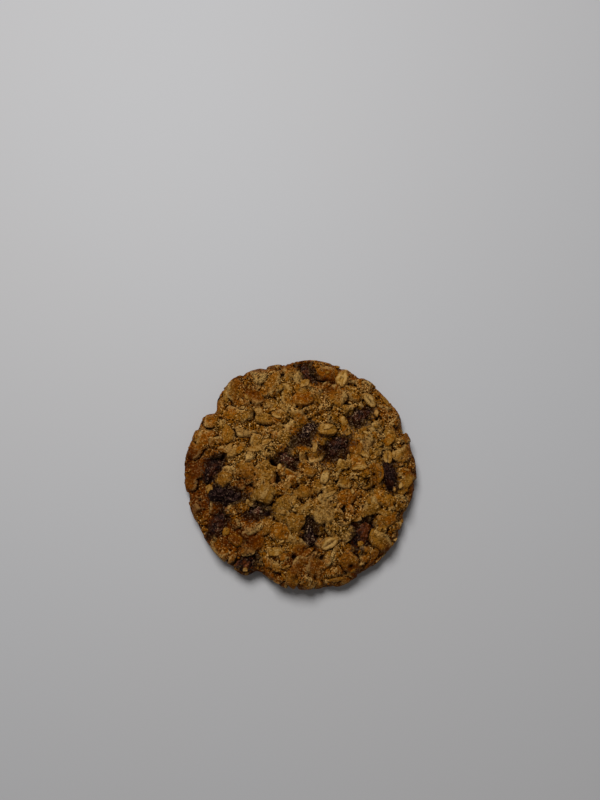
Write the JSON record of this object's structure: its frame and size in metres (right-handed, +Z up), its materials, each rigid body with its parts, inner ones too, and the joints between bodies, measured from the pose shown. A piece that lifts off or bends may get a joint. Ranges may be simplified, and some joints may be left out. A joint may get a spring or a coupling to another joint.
{
  "type": "oatmeal raisin cookie",
  "caption": "Round baked oatmeal raisin cookie with a flat base, a lumpy top of rolled oat flakes and wrinkled raisins set in the dough.",
  "frame": {"origin": "on the base plane, at the middle of the cookie's outline seen from above", "axes": "+Z up through the thickness, out of the top; -Y towards the viewer; the thin smooth skirt of dough is on the -X side"},
  "size_m": [0.0809, 0.08, 0.014],
  "materials": {
    "dough": "baked oat dough, matt, tan to orange brown, with paler oat flakes",
    "raisin": "wrinkled dried fruit skin, dark brown, satin"
  },
  "bodies": {
    "root": {"dough": "dough", "raisin_01": "raisin", "raisin_02": "raisin", "raisin_03": "raisin", "raisin_04": "raisin", "raisin_05": "raisin", "raisin_06": "raisin", "raisin_07": "raisin", "raisin_08": "raisin", "raisin_09": "raisin", "raisin_10": "raisin", "raisin_11": "raisin", "raisin_12": "raisin", "raisin_13": "raisin", "raisin_14": "raisin", "raisin_15": "raisin", "raisin_16": "raisin"}
  },
  "joints": []
}
